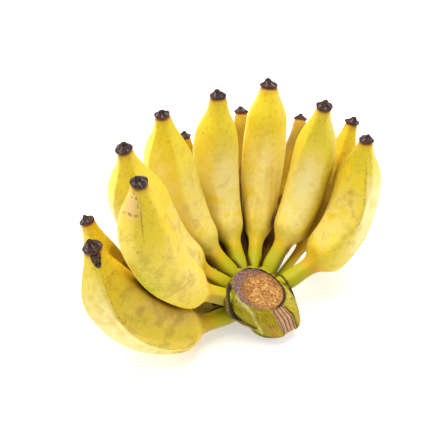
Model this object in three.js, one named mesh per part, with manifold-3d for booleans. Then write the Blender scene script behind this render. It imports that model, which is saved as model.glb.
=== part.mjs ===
// A hand of short, thick, angular bananas, still joined at a cut piece of the bunch stalk.
// Millimetres, +Z up. It lies on the bellies of its lower row, with the stalk's cut face up.
// The origin is on the table, under the middle of the hand's box.

import * as THREE from 'three';
import { mergeVertices } from 'three/addons/utils/BufferGeometryUtils.js';
import Module from 'manifold-3d';

const wasm = await Module();
wasm.setup();

const { clamp, degToRad, lerp, smoothstep } = THREE.MathUtils;

// ---------- Driving dimensions ----------

const GAP = 0.3;                  // clear space between pieces that touch

// The crown, and the circle on which the stems leave it
const SEAT_RADIUS = 26;
const LOWER_ROW_DROP = 14;        // the lower row leaves the crown this far below the upper row

// Every finger
const NECK_HALF = 6.3;            // half the neck's thickness, where the flower sat
const SHOULDER_SHARE = 0.12;      // share of the body in which it swells out of the stem
const TAPER_SHARE = 0.34;         // share of the body in which it narrows to the neck
const BEND_START = 0.1;           // shares of the length between which the finger curls
const BEND_END = 0.9;
const NECK_START = 0.72;          // share of the length at which the neck starts to bend back out
const RIDGES = 5;                 // blunt ridges along a finger
const RIDGE_SHARPNESS = 0.42;     // 0 is round, 1 is a polygon with sharp corners
const SIDES = RIDGES * 3;
const PATH_STEPS = 60;

// Rings of a finger's body, as shares from the end of its stem to its neck
const BODY_RINGS = [0, 0.04, 0.08, 0.12, 0.2, 0.3, 0.4, 0.5, 0.6, 0.68, 0.75, 0.81, 0.87, 0.92, 0.96, 1];

// The dry flower remnant: half-width and height above the neck
const FLOWER_HEIGHT = 6.2;
const FLOWER_PROFILE = [
  [5.6, 0], [6.8, 0.8], [6.5, 1.7], [4.6, 2.6], [3.1, 3.5], [2.2, 4.9], [1.1, FLOWER_HEIGHT],
];
const FLOWER_SIDES = 9;

// The fingers. Angles are degrees, and those round the crown are clockwise from the middle of the fan.
// root: where the stem leaves the crown. seat: its height above its row. fan: which way the stem points.
// rise: the stem's slope. curl: how far the finger bends up. sway: how far it bends sideways.
// stem: its stem's length, and stemGirth and girth: the thickness of its stem and of its body.
// shoulder: its girth beside the stem, as a share of its greatest girth, and belly: the share of its
// body at which it is thickest. ridge: where a ridge runs, from the inner side of the curve.
// neck: how far the neck bends back out, and tip: the size of the neck and its flower.
const UPPER_ROW = [
  { root: -125, seat: 3, fan: -125, rise: 36, curl: 51, sway: 10, length: 169,
    stem: 26, stemGirth: 12, girth: 36.2, shoulder: 0.85, belly: 0.45, ridge: 20, neck: 4, tip: 0.85 },
  { root: -92, seat: 1, fan: -93, rise: 32, curl: 53, sway: 4, length: 154,
    stem: 20, stemGirth: 12.4, girth: 40.8, shoulder: 0.72, belly: 0.6, ridge: 20, neck: 12, tip: 0.85 },
  { root: -60, seat: 0, fan: -61, rise: 31, curl: 58, sway: -3, length: 147,
    stem: 20, stemGirth: 12, girth: 36.7, shoulder: 0.72, belly: 0.6, ridge: -30, neck: 14, tip: 0.85 },
  { root: -36, seat: -2, fan: -27, rise: 26, curl: 71, sway: -10, length: 149,
    stem: 20, stemGirth: 10.8, girth: 34, shoulder: 0.72, belly: 0.6, ridge: 40, neck: 22, tip: 0.85 },
  { root: -13, seat: -2, fan: -1, rise: 20, curl: 69, sway: -13, length: 154,
    stem: 20, stemGirth: 9.8, girth: 33.3, shoulder: 0.7, belly: 0.6, ridge: 0, neck: 22, tip: 0.85 },
  { root: 14, seat: -1, fan: 25, rise: 33, curl: 76, sway: -16, length: 150,
    stem: 20, stemGirth: 11.6, girth: 31.4, shoulder: 0.86, belly: 0.5, ridge: 40, neck: 24, tip: 0.85 },
  { root: 55, seat: -1, fan: 53, rise: 21, curl: 70, sway: -64, length: 139,
    stem: 20, stemGirth: 12, girth: 35.6, shoulder: 0.9, belly: 0.25, ridge: 30, neck: 12, tip: 0.85 },
];
const LOWER_ROW = [
  { root: -131, seat: 1, fan: -129, rise: 5, curl: 72, sway: 53, length: 157,
    stem: 24, stemGirth: 11.6, girth: 39, shoulder: 0.86, belly: 0.5, ridge: 0, neck: 6, tip: 1 },
  { root: -109, seat: -1, fan: -97, rise: -5, curl: 77, sway: 27, length: 143,
    stem: 20, stemGirth: 9.2, girth: 26.5, shoulder: 0.8, belly: 0.5, ridge: 0, neck: 8, tip: 0.82 },
  { root: -88, seat: -2, fan: -74, rise: 0, curl: 89, sway: 11, length: 133,
    stem: 20, stemGirth: 10.4, girth: 27, shoulder: 0.8, belly: 0.5, ridge: 20, neck: 10, tip: 0.82 },
  { root: -65, seat: -2, fan: -52, rise: -1, curl: 88, sway: 3, length: 133,
    stem: 20, stemGirth: 10, girth: 25.4, shoulder: 0.8, belly: 0.5, ridge: 0, neck: 10, tip: 0.82 },
  { root: -38, seat: -1, fan: -35, rise: -3, curl: 84, sway: -2, length: 141,
    stem: 20, stemGirth: 9.8, girth: 28.6, shoulder: 0.8, belly: 0.5, ridge: 36, neck: 18, tip: 0.82 },
  { root: -17, seat: 0, fan: -12, rise: 1, curl: 70, sway: 0, length: 152,
    stem: 20, stemGirth: 9.6, girth: 29.2, shoulder: 0.8, belly: 0.5, ridge: 0, neck: 20, tip: 0.82 },
  { root: 7, seat: 0, fan: 12, rise: -2, curl: 66, sway: -13, length: 156,
    stem: 20, stemGirth: 10.4, girth: 29.5, shoulder: 0.8, belly: 0.5, ridge: 20, neck: 20, tip: 0.82 },
  { root: 29, seat: 1, fan: 30, rise: 13, curl: 73, sway: -13, length: 154,
    stem: 34, stemGirth: 9, girth: 28.5, shoulder: 0.8, belly: 0.5, ridge: 0, neck: 20, tip: 0.74 },
];

// The piece of stalk leans between its slanted underside and its slanted cut face
const CROWN_SIDES = 40;
const STALK_BOTTOM = new THREE.Vector3(17, -12, -22);
const STALK_TOP = new THREE.Vector3(-0.9, -7.4, 9);
const STALK_PROFILE = [[15.8, 0], [18, 2], [20, 8], [22, 15], [23, 20], [22.6, 25], [21.4, 28.5], [19.8, 31]];
const STALK_DEPTH = 0.86;         // its depth, front to back, as a share of its width
const CUT_SLOPE = new THREE.Vector2(-0.23, 0.17);   // the cut face's slope towards +X and +Y
const UNDERSIDE_SLOPE = 0.34;     // the underside's slope towards +X
const SPLIT_SIDE = 136;           // degrees round the stalk of the side where a strip was torn off
const SPLIT_HALF_WIDTH = 18;      // degrees
// Where the stalk swells out below the stems. side: degrees round the stalk. halfWidth: degrees.
// fullness: how far it stands out, as a share of the stalk's width. rise: 1 is fullest halfway up, and
// more is fullest higher up.
const SWELLINGS = [
  { side: -114, halfWidth: 38, fullness: 0.28, rise: 1.6 },
  { side: 56, halfWidth: 36, fullness: 0.1, rise: 1.5 },
];

// The cushion that carries the stems behind the stalk: half-width and height
const CUSHION_PROFILE = [[18, -20], [22, -18.5], [24, -15], [24.5, -9], [23.5, -4], [20, -1]];

// The root of a stem inside the cushion: how much it stands out of the stem, and its length
const ROOT_MARGIN = 0.5;
const ROOT_LENGTH = 14;

// ---------- Materials ----------

const peel = new THREE.MeshStandardMaterial({ color: 0xe9cf4e, roughness: 0.5, metalness: 0 });
const dryFlower = new THREE.MeshStandardMaterial({ color: 0x35272a, roughness: 0.9, metalness: 0 });
const stalkSkin = new THREE.MeshStandardMaterial({ color: 0x9aa52c, roughness: 0.6, metalness: 0 });

// ---------- Fingers ----------

// The middle line of a finger, in the finger's own frame: it starts at the origin and the stem points
// along +Y, rising towards +Z.
class FingerPath {
  constructor(finger) {
    this.finger = finger;
    this.points = [new THREE.Vector3()];
    const stride = finger.length / PATH_STEPS;
    for (let step = 0; step < PATH_STEPS; step++) {
      const { along } = this.frame((step + 0.5) * stride);
      this.points.push(this.points[step].clone().addScaledVector(along, stride));
    }
  }

  // The directions at a distance along the finger: along it, towards the inner side of its curve, and
  // sideways.
  frame(distance) {
    const share = clamp((distance / this.finger.length - BEND_START) / (BEND_END - BEND_START), 0, 1);
    const bent = (share + smoothstep(share, 0, 1)) / 2;
    const turn = degToRad(this.finger.sway * bent);
    const neckBend = this.finger.neck * smoothstep(distance / this.finger.length, NECK_START, 1);
    const slope = degToRad(this.finger.rise + this.finger.curl * bent - neckBend);
    const side = new THREE.Vector3(Math.cos(turn), -Math.sin(turn), 0);
    const level = new THREE.Vector3(Math.sin(turn), Math.cos(turn), 0);
    const up = new THREE.Vector3(0, 0, 1);
    const along = level.clone().multiplyScalar(Math.cos(slope)).addScaledVector(up, Math.sin(slope));
    const inner = up.multiplyScalar(Math.cos(slope)).addScaledVector(level, -Math.sin(slope));
    return { along, inner, side };
  }

  // The middle of the finger at a distance along it; the stem runs straight on below its root
  point(distance) {
    const place = distance / this.finger.length * PATH_STEPS;
    const step = clamp(Math.floor(place), 0, PATH_STEPS - 1);
    return this.points[step].clone().lerp(this.points[step + 1], place - step);
  }
}

function skinLength(finger) {
  return finger.length - FLOWER_HEIGHT;
}

// Half a finger's thickness at a share of its body, from the end of the stem (0) to the neck (1)
function halfWidth(finger, share) {
  const fullness = lerp(finger.shoulder, 1, smoothstep(share, 0, finger.belly));
  const body = lerp(finger.stemGirth / 2, finger.girth / 2 * fullness, smoothstep(share, 0, SHOULDER_SHARE));
  return lerp(NECK_HALF * finger.tip, body, smoothstep(1 - share, 0, TAPER_SHARE));
}

// How far out a finger's skin stands at an angle from a ridge, where 1 is the mean
function ridged(angle) {
  const facet = 2 * Math.PI / RIDGES;
  const fromRidge = THREE.MathUtils.euclideanModulo(angle, facet);
  const polygon = Math.cos(facet / 2) / Math.cos(fromRidge - facet / 2);
  const mean = Math.sin(facet) / facet;
  return lerp(1, polygon / Math.sqrt(mean), RIDGE_SHARPNESS);
}

// Bends a straight lathe, whose axis is Y, along a finger's path and gives it the finger's ridges
function bendAlong(geometry, path, margin = 0) {
  const position = geometry.attributes.position;
  const ridge = degToRad(path.finger.ridge);
  const vertex = new THREE.Vector3();
  for (let i = 0; i < position.count; i++) {
    vertex.fromBufferAttribute(position, i);
    const angle = Math.atan2(vertex.x, vertex.z);
    const radius = Math.hypot(vertex.x, vertex.z);
    const out = radius === 0 ? 0 : radius * ridged(angle) + margin;
    const { inner, side } = path.frame(vertex.y);
    const point = path.point(vertex.y);
    point.addScaledVector(inner, Math.cos(angle + ridge) * out);
    point.addScaledVector(side, Math.sin(angle + ridge) * out);
    position.setXYZ(i, point.x, point.y, point.z);
  }
  return geometry;
}

// A closed lathe from a list of half-widths and heights
function closedLathe(outline, sides) {
  const points = outline.map(([width, height]) => new THREE.Vector2(width, height));
  const start = new THREE.Vector2(0, outline[0][1]);
  const end = new THREE.Vector2(0, outline[outline.length - 1][1]);
  return new THREE.LatheGeometry([start, ...points, end], sides);
}

function fingerGeometry(finger, path) {
  const bodyLength = skinLength(finger) - finger.stem;
  const stem = [[finger.stemGirth / 2, 0], [finger.stemGirth / 2, finger.stem / 2]];
  const body = BODY_RINGS.map((share) => [halfWidth(finger, share), finger.stem + share * bodyLength]);
  return bendAlong(closedLathe([...stem, ...body], SIDES), path);
}

// The space that a stem takes up in the crown, with the gap round it
function socketGeometry(finger, path) {
  const half = finger.stemGirth / 2;
  return bendAlong(closedLathe([[half, -GAP], [half, finger.stem]], SIDES), path, GAP);
}

// The crown's own flesh that runs on inwards from a stem
function rootGeometry(finger, path) {
  const half = finger.stemGirth / 2;
  return bendAlong(closedLathe([[half, -ROOT_LENGTH], [half, 0]], SIDES), path, ROOT_MARGIN);
}

function flowerGeometry(finger) {
  const outline = FLOWER_PROFILE.map(([width, height]) => [width * finger.tip, height * finger.tip + GAP]);
  const lathe = closedLathe(outline, FLOWER_SIDES);
  const position = lathe.attributes.position;
  const lean = Math.sin(finger.root) * 0.12;
  for (let i = 0; i < position.count; i++) {
    const height = position.getY(i) - GAP;
    const wave = 1 + 0.06 * Math.sin(3 * Math.atan2(position.getX(i), position.getZ(i)) + finger.root);
    position.setX(i, position.getX(i) * wave + height * lean);
    position.setZ(i, position.getZ(i) * wave);
  }
  return lathe;
}

function seatOf(finger, rowHeight) {
  const root = degToRad(finger.root);
  return new THREE.Vector3(
    SEAT_RADIUS * Math.sin(root), SEAT_RADIUS * Math.cos(root), rowHeight + finger.seat);
}

// A finger's own frame in the hand: at its seat, with +Y the way its stem points
function placeFinger(object, finger, rowHeight) {
  object.position.copy(seatOf(finger, rowHeight));
  object.rotation.z = -degToRad(finger.fan);
}

function makeFinger(finger, row, number, rowHeight) {
  const path = new FingerPath(finger);
  const skin = new THREE.Mesh(fingerGeometry(finger, path), peel.clone());
  skin.name = `${row}_finger_${number}`;

  const flower = new THREE.Mesh(flowerGeometry(finger), dryFlower.clone());
  flower.name = `${row}_flower_${number}`;
  const { along, inner, side } = path.frame(skinLength(finger));
  flower.quaternion.setFromRotationMatrix(new THREE.Matrix4().makeBasis(side, along, inner));
  flower.position.copy(path.point(skinLength(finger)));

  const group = new THREE.Group();
  group.add(skin, flower);
  placeFinger(group, finger, rowHeight);
  return group;
}

// ---------- Crown ----------

function toManifold(geometry) {
  const bare = geometry.clone();
  bare.deleteAttribute('normal');
  bare.deleteAttribute('uv');
  const merged = mergeVertices(bare, 1e-3);
  const index = Array.from(merged.index.array);
  const corners = [];
  for (let i = 0; i < index.length; i += 3) {
    const [a, b, c] = index.slice(i, i + 3);
    if (a !== b && b !== c && c !== a) corners.push(a, b, c);
  }
  const mesh = new wasm.Mesh({
    numProp: 3,
    vertProperties: new Float32Array(merged.attributes.position.array),
    triVerts: new Uint32Array(corners),
  });
  return new wasm.Manifold(mesh);
}

function fromManifold(solid) {
  const mesh = solid.getMesh();
  const geometry = new THREE.BufferGeometry();
  geometry.setAttribute('position', new THREE.BufferAttribute(mesh.vertProperties, 3));
  geometry.setIndex(new THREE.BufferAttribute(mesh.triVerts, 1));
  geometry.computeVertexNormals();
  return geometry;
}

// How far the stalk swells out at an angle round it and a share of its height
function stalkSwelling(angle, share) {
  let total = 0;
  for (const { side, halfWidth, fullness, rise } of SWELLINGS) {
    const away = Math.abs(angle - degToRad(side)) / degToRad(halfWidth);
    total += fullness * smoothstep(1 - away, 0, 1) * Math.sin(Math.PI * share ** rise);
  }
  return total;
}

// The leaning piece of stalk, with one side split flat and its cut face slanted
function stalkGeometry() {
  const lathe = closedLathe(STALK_PROFILE, CROWN_SIDES);
  lathe.rotateX(Math.PI / 2);
  const position = lathe.attributes.position;
  const height = STALK_TOP.z - STALK_BOTTOM.z;
  const vertex = new THREE.Vector3();
  for (let i = 0; i < position.count; i++) {
    vertex.fromBufferAttribute(position, i);
    const up = vertex.z;
    const share = clamp(up / height, 0, 1);
    const angle = Math.atan2(vertex.x, vertex.y);
    const fromSplit = Math.abs(angle - degToRad(SPLIT_SIDE));
    const halfSplit = degToRad(SPLIT_HALF_WIDTH);
    const flat = fromSplit < halfSplit ? Math.cos(halfSplit) / Math.cos(fromSplit) : 1;
    const fullness = 1 + stalkSwelling(angle, share);
    const x = vertex.x * flat * fullness;
    const y = vertex.y * flat * fullness * STALK_DEPTH;
    const topSlant = smoothstep(up, height / 2, height) * (x * CUT_SLOPE.x + y * CUT_SLOPE.y);
    const footSlant = smoothstep(height - up, height / 2, height) * x * UNDERSIDE_SLOPE;
    const middle = STALK_BOTTOM.clone().lerp(STALK_TOP, share);
    position.setXYZ(i, middle.x + x, middle.y + y, middle.z + topSlant + footSlant);
  }
  return lathe;
}

function makeCrown(rows) {
  const cushion = closedLathe(CUSHION_PROFILE, CROWN_SIDES).rotateX(Math.PI / 2);
  let solid = toManifold(stalkGeometry()).add(toManifold(cushion));
  const roots = [];
  const sockets = [];
  for (const { fingers, height } of rows) {
    for (const finger of fingers) {
      const place = new THREE.Object3D();
      placeFinger(place, finger, height);
      place.updateMatrix();
      const path = new FingerPath(finger);
      roots.push(toManifold(rootGeometry(finger, path).applyMatrix4(place.matrix)));
      sockets.push(toManifold(socketGeometry(finger, path).applyMatrix4(place.matrix)));
    }
  }
  for (const root of roots) solid = solid.add(root);
  for (const socket of sockets) solid = solid.subtract(socket);
  const crown = new THREE.Mesh(fromManifold(solid), stalkSkin);
  crown.name = 'crown';
  return crown;
}

// ---------- The hand ----------

const rows = [
  { name: 'upper', fingers: UPPER_ROW, height: 0 },
  { name: 'lower', fingers: LOWER_ROW, height: -LOWER_ROW_DROP },
];

const hand = new THREE.Group();
hand.name = 'banana_hand';
hand.add(makeCrown(rows));
for (const { name, fingers, height } of rows) {
  fingers.forEach((finger, index) => hand.add(makeFinger(finger, name, index + 1, height)));
}

// Stands the hand on the table, with the middle of its box over the origin
const box = new THREE.Box3().setFromObject(hand, true);
const middle = box.getCenter(new THREE.Vector3());
hand.position.set(-middle.x, -middle.y, -box.min.z);
hand.updateMatrixWorld(true);

export default hand;
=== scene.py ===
# %% [markdown]
# # A hand of ripe bananas
#
# The real thing is one cluster, or hand, of short, thick, angular bananas. Their stems grow out of a
# cut piece of the bunch stalk, called the crown, and each banana ends in the dry black rest of its
# flower. The solids of the hand are already made and weighed, so this lesson only dresses them: it
# keeps every size and place, and adds the curved skin, the colours and the dry, fibrous parts.

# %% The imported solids
import math

import bmesh
import bpy
import numpy as np
from mathutils import Matrix, Vector, noise
from mathutils.bvhtree import BVHTree


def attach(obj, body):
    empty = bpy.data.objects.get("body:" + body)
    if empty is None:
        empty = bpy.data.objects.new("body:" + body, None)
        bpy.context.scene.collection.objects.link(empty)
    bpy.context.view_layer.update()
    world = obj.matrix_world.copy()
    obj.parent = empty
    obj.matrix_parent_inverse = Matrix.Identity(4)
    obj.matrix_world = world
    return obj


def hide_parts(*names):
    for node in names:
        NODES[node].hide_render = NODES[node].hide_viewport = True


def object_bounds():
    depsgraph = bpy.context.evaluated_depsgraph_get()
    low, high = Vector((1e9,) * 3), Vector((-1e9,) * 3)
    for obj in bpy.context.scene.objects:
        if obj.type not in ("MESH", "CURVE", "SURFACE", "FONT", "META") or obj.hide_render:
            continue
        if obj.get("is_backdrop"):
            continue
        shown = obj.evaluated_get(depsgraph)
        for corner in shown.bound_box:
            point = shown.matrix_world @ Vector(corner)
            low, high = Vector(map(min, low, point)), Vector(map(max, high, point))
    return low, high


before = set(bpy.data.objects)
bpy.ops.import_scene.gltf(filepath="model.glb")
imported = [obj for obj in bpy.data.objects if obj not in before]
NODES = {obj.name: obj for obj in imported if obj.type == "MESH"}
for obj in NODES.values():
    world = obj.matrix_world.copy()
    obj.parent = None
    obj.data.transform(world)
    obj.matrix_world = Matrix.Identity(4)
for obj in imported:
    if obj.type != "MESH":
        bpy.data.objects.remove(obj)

CAD_BOX = [list(corner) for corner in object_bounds()]
FINGERS = sorted(name for name in NODES if "_finger_" in name)
print(len(NODES), "solids,", len(FINGERS), "of them bananas")

# %% [markdown]
# ## Lengths and the middle of the crown
#
# Blender works in metres, and fruit is easier to think about in millimetres, so every length below is
# a number of millimetres times MM. The crown's middle is the one place that much of the hand is
# measured from: the stems leave the crown on a circle round it.

# %% Lengths
MM = 0.001
CROWN = Vector((26.9, -39.2, 27.6)) * MM       # the middle of the circle on which the stems start
FLOOR_Z = 0.0


def clamp(value, low=0.0, high=1.0):
    return max(low, min(high, value))


def ease(value, start, end):
    share = clamp((value - start) / (end - start))
    return share * share * (3 - 2 * share)


def mix(a, b, share):
    return a + (b - a) * share


def soft(values, start, end):
    """The same ease for a whole array of values."""
    share = np.clip((values - start) / (end - start), 0, 1)
    return share * share * (3 - 2 * share)


def near(values, middle, width):
    """1 at the middle, falling to nothing a little more than a width away."""
    return np.exp(-((values - middle) / width) ** 2)


print("the crown's middle is", [round(c / MM, 1) for c in CROWN], "mm")

# %% [markdown]
# ## Small helpers for working by hand
#
# Blender's operators act on whatever is selected, so each step first selects one object only. A
# modifier is added, set and applied in one go, which leaves a plain mesh behind.

# %% Selecting and applying


def take(piece):
    bpy.ops.object.select_all(action="DESELECT")
    piece.select_set(True)
    bpy.context.view_layer.objects.active = piece


def apply_modifier(piece, kind, **settings):
    take(piece)
    modifier = piece.modifiers.new(kind.title(), kind)
    for name, value in settings.items():
        setattr(modifier, name, value)
    bpy.ops.object.modifier_apply(modifier=modifier.name)


def copy_of_solid(node, name):
    mesh = NODES[node].data.copy()
    mesh.materials.clear()
    piece = bpy.data.objects.new(name, mesh)
    bpy.context.scene.collection.objects.link(piece)
    take(piece)
    bpy.ops.object.mode_set(mode="EDIT")
    bpy.ops.mesh.select_all(action="SELECT")
    bpy.ops.mesh.remove_doubles(threshold=0.005 * MM)
    bpy.ops.object.mode_set(mode="OBJECT")
    return piece


print("helpers for whole objects are ready")

# %% [markdown]
# A mesh can keep a value at each of its points, called an attribute, and a material can read it. These
# helpers write and read such values, the points' places and their normals as whole arrays, which is
# much quicker than going from point to point.

# %% Values at the points


def write_attribute(piece, name, values, kind="FLOAT"):
    layer = piece.data.attributes.new(name, kind, "POINT")
    key = "value" if kind == "FLOAT" else "vector"
    layer.data.foreach_set(key, np.asarray(values, dtype=np.float32).ravel())


def read_attribute(piece, name):
    layer = piece.data.attributes[name]
    width = 1 if layer.data_type == "FLOAT" else 3
    values = np.zeros(len(layer.data) * width, dtype=np.float32)
    layer.data.foreach_get("value" if width == 1 else "vector", values)
    return values if width == 1 else values.reshape(-1, 3)


def read_points(piece):
    points = np.zeros(len(piece.data.vertices) * 3, dtype=np.float32)
    piece.data.vertices.foreach_get("co", points)
    return points.reshape(-1, 3).astype(float)


def write_points(piece, points):
    piece.data.vertices.foreach_set("co", np.asarray(points, dtype=np.float32).ravel())
    piece.data.update()


def read_normals(piece):
    normals = np.zeros(len(piece.data.vertices) * 3, dtype=np.float32)
    piece.data.vertices.foreach_get("normal", normals)
    return normals.reshape(-1, 3).astype(float)


print("helpers for points are ready")

# %% [markdown]
# ## Reading a banana's solid
#
# Each solid is a coarse skin: rings of points from the root to the neck, closed by a point at each end.
# A ring's number is how many edges it is away from the root, so it can be counted outwards. The edges
# that cross a ring slantwise only split four-sided faces into triangles. Without them the skin is a
# clean cage of four-sided faces, which a subdivision surface turns into a smooth fruit.

# %% Rings and columns of the skin
COLUMNS = 15                     # points in a ring: a ridge on every third one
RIDGE_STEP = 3


class Cage:
    """The coarse skin of one banana: its rings, its middle line and where each point stands on it."""

    def __init__(self, piece):
        self.mesh = bmesh.new()
        self.mesh.from_mesh(piece.data)
        poles = [v for v in self.mesh.verts if len(v.link_edges) == COLUMNS]
        root = min(poles, key=lambda v: (v.co - CROWN).length)
        self.rings = self.count_rings(root)
        self.middles = [sum((v.co for v in ring), Vector()) / len(ring) for ring in self.rings]
        self.distances = [0.0]
        for before, after in zip(self.middles, self.middles[1:]):
            self.distances.append(self.distances[-1] + (after - before).length)
        self.half = len(self.rings) // 2
        self.columns = self.count_columns()
        self.inner_column = self.find_inner_column()
        self.ridge_column = self.find_ridge_column()

    def count_rings(self, root):
        seen = {root}
        rings = [[root]]
        while rings[-1]:
            neighbours = [e.other_vert(v) for v in rings[-1] for e in v.link_edges]
            following = [v for v in dict.fromkeys(neighbours) if v not in seen]
            seen.update(following)
            rings.append(following)
        return rings[:-1]

    def along(self, ring):
        before = self.middles[max(ring - 1, 0)]
        after = self.middles[min(ring + 1, len(self.middles) - 1)]
        return (after - before).normalized()

    def outward(self, vert, ring):
        return (vert.co - self.middles[ring]).normalized()

    def count_columns(self):
        along = self.along(1)
        zero = self.outward(self.rings[1][0], 1)
        quarter = along.cross(zero)
        columns = {}
        for vert in self.rings[1]:
            out = self.outward(vert, 1)
            turn = math.atan2(out.dot(quarter), out.dot(zero)) / (2 * math.pi)
            columns[vert] = round(turn * COLUMNS) % COLUMNS
        for number in range(1, len(self.rings) - 2):
            following = set(self.rings[number + 1])
            for vert in self.rings[number]:
                here = self.outward(vert, number)
                nexts = [v for v in (e.other_vert(vert) for e in vert.link_edges) if v in following]
                straight = max(nexts, key=lambda v: self.outward(v, number + 1).dot(here))
                columns[straight] = columns[vert]
        return columns

    def find_inner_column(self):
        """The column on the inner side of the banana's curve."""
        chord = (self.middles[1] + self.middles[-2]) / 2 - self.middles[self.half]
        ring = self.rings[self.half]
        return self.columns[max(ring, key=lambda v: self.outward(v, self.half).dot(chord))]

    def find_ridge_column(self):
        """The first column, of every third one, that stands out as a ridge."""
        reach = [0.0] * RIDGE_STEP
        for vert in self.rings[self.half]:
            reach[self.columns[vert] % RIDGE_STEP] += (vert.co - self.middles[self.half]).length
        return reach.index(max(reach))

    def angle(self, vert):
        """Radians round the skin from the inner side of the curve."""
        return (self.columns.get(vert, 0) - self.inner_column) / COLUMNS * 2 * math.pi

    def on_ridge(self, vert):
        return vert in self.columns and self.columns[vert] % RIDGE_STEP == self.ridge_column


print("a banana's skin has", COLUMNS, "columns and", COLUMNS // RIDGE_STEP, "ridges")

# %% [markdown]
# ## From cage to skin
#
# The solid's stem stops short of the crown, because solids keep clear of each other. On the real hand
# it grows out of the crown, so the cage's root is pushed a few millimetres into it and the stem is made
# a touch fuller. The ridges get a crease, which keeps them from being smoothed away, and a displace
# modifier adds the slow unevenness that no two bananas share.
#
# Each point also remembers where it stands: what share of the stem and of the whole banana lies behind
# it, and which way round it is. The skin's colours follow these values instead of a flat picture
# wrapped round it.

# %% How full, how sharp
ROOT_DEPTH = 4.0 * MM            # how far the stem is pushed into the crown
ROOT_FLARE = 1.18                # and how much wider it is there
BODY_RING = 3                    # the first ring of the body, after the pole and two rings of stem
STEM_FULLNESS = 1.08             # how much fuller than the solid's the plain stems are
BODY_FULLNESS = 1.015            # makes up for what the subdivision surface takes away
RIDGE_LIFT = 0.03                # how far a sharp ridge stands out, as a share of the half-thickness
SKIN_LEVELS = 3
UNEVENNESS = 0.9 * MM

# In the lower row some stems are pressed together, and light shows between others.
CROWDED = ("lower_finger_2", "lower_finger_3", "lower_finger_4", "lower_finger_5", "lower_finger_6")
CROWDED_FULLNESS = 1.4
SLIM = ("lower_finger_7", "lower_finger_8")
SLIM_FULLNESS = 0.74
STEM_SHIFTS = {"lower_finger_7": Vector((-2.6, 0, 0)) * MM}     # this stem leans on its neighbour's
BOUNDED = ("upper_finger_1",)    # its root ends behind the dry lip of the crown

# How sharp a banana's ridges are, from 0 to 1. The outer bananas had room to grow angular.
PLAIN_SHARPNESS = 0.3
SHARPNESS = {
    "lower_finger_1": 1.0, "upper_finger_3": 0.8, "upper_finger_7": 0.7, "upper_finger_1": 0.25,
    "lower_finger_2": 0.6, "lower_finger_8": 0.8, "upper_finger_2": 0.55,
}

# Some bananas keep their width nearly up to the neck, like a bottle: the share along, the length of
# that shoulder and how much wider it is. Some have a wider neck.
NO_SHOULDER = (0, 1, 0)
SHOULDERS = {
    "upper_finger_5": (0.885, 0.075, 0.46), "upper_finger_4": (0.85, 0.06, 0.16),
    "upper_finger_1": (0.895, 0.07, 0.18),
}
NECKS = {"upper_finger_5": 1.2, "upper_finger_4": 1.16, "upper_finger_3": 1.06}

print(len(SHARPNESS), "bananas have ridges of a sharpness of their own")

# %% [markdown]
# The rings are moved in or out from the banana's middle line. The first two, at the root, are also
# pushed back along the stem.

# %% Moving the rings


def stem_fullness_of(node):
    if node in CROWDED:
        return CROWDED_FULLNESS
    return SLIM_FULLNESS if node in SLIM else STEM_FULLNESS


def move_rings(cage, node):
    """Makes the cage fuller or slimmer ring by ring, and pushes its root into the crown."""
    stem_end = cage.distances[BODY_RING]
    total = cage.distances[-1]
    sharpness = SHARPNESS.get(node, PLAIN_SHARPNESS)
    shoulder, length, wider = SHOULDERS.get(node, NO_SHOULDER)
    for number, ring in enumerate(cage.rings):
        middle = cage.middles[number]
        distance = cage.distances[number]
        share = distance / total
        stem = 1 - ease(distance, stem_end * 0.9, stem_end * 1.8)
        fullness = mix(BODY_FULLNESS, stem_fullness_of(node), stem)
        fullness *= 1 + wider * near(share, shoulder, length)
        fullness *= mix(1, NECKS.get(node, 1), ease(share, 0.9, 0.97))
        flare = ROOT_FLARE if number < 2 and node not in BOUNDED else 1.0
        body = (1 - stem) * (1 - ease(distance, 0.9 * total, total))
        for vert in ring:
            lift = RIDGE_LIFT if cage.on_ridge(vert) else -RIDGE_LIFT / 2
            vert.co = middle + (vert.co - middle) * (fullness * flare + lift * body * sharpness)
            vert.co += STEM_SHIFTS.get(node, Vector()) * (1 - ease(distance, stem_end, stem_end * 2.2))
            if number < 2:
                vert.co = vert.co - cage.along(1) * ROOT_DEPTH


print("a root goes", round(ROOT_DEPTH / MM, 1), "mm into the crown")

# %% [markdown]
# A crease is a value on an edge that tells the subdivision surface how sharp to leave it. It fades
# towards the stem and the neck, where the real ridges fade as well.

# %% Creases and places


def crease_ridges(cage, node):
    """Creases the ridges, and dissolves the slanting edges between the columns."""
    stem_end = cage.distances[BODY_RING]
    total = cage.distances[-1]
    sharpness = SHARPNESS.get(node, PLAIN_SHARPNESS)
    creases = []
    for distance in cage.distances:
        ends = ease(distance, stem_end * 1.4, stem_end * 3) * (1 - ease(distance, total * 0.92, total))
        creases.append(sharpness * ends)

    slanted = []
    crease = cage.mesh.edges.layers.float.new("crease_edge")
    ring_of = {vert: number for number, ring in enumerate(cage.rings) for vert in ring}
    for edge in cage.mesh.edges:
        a, b = edge.verts
        if a not in cage.columns or b not in cage.columns or ring_of[a] == ring_of[b]:
            continue
        if cage.columns[a] != cage.columns[b]:
            slanted.append(edge)
        elif cage.on_ridge(a):
            edge[crease] = min(creases[ring_of[a]], creases[ring_of[b]])
    bmesh.ops.dissolve_edges(cage.mesh, edges=slanted, use_verts=False)
    cage.mesh.verts.index_update()


def places_on(cage):
    """For each point: how far along it is, the cosine and sine of its angle, and the banana's direction."""
    rows = np.zeros((len(cage.mesh.verts), 6))
    for number, ring in enumerate(cage.rings):
        for vert in ring:
            angle = cage.angle(vert)
            way_round = (math.cos(angle), math.sin(angle))
            rows[vert.index] = (cage.distances[number], *way_round, *cage.along(number))
    return rows


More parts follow.
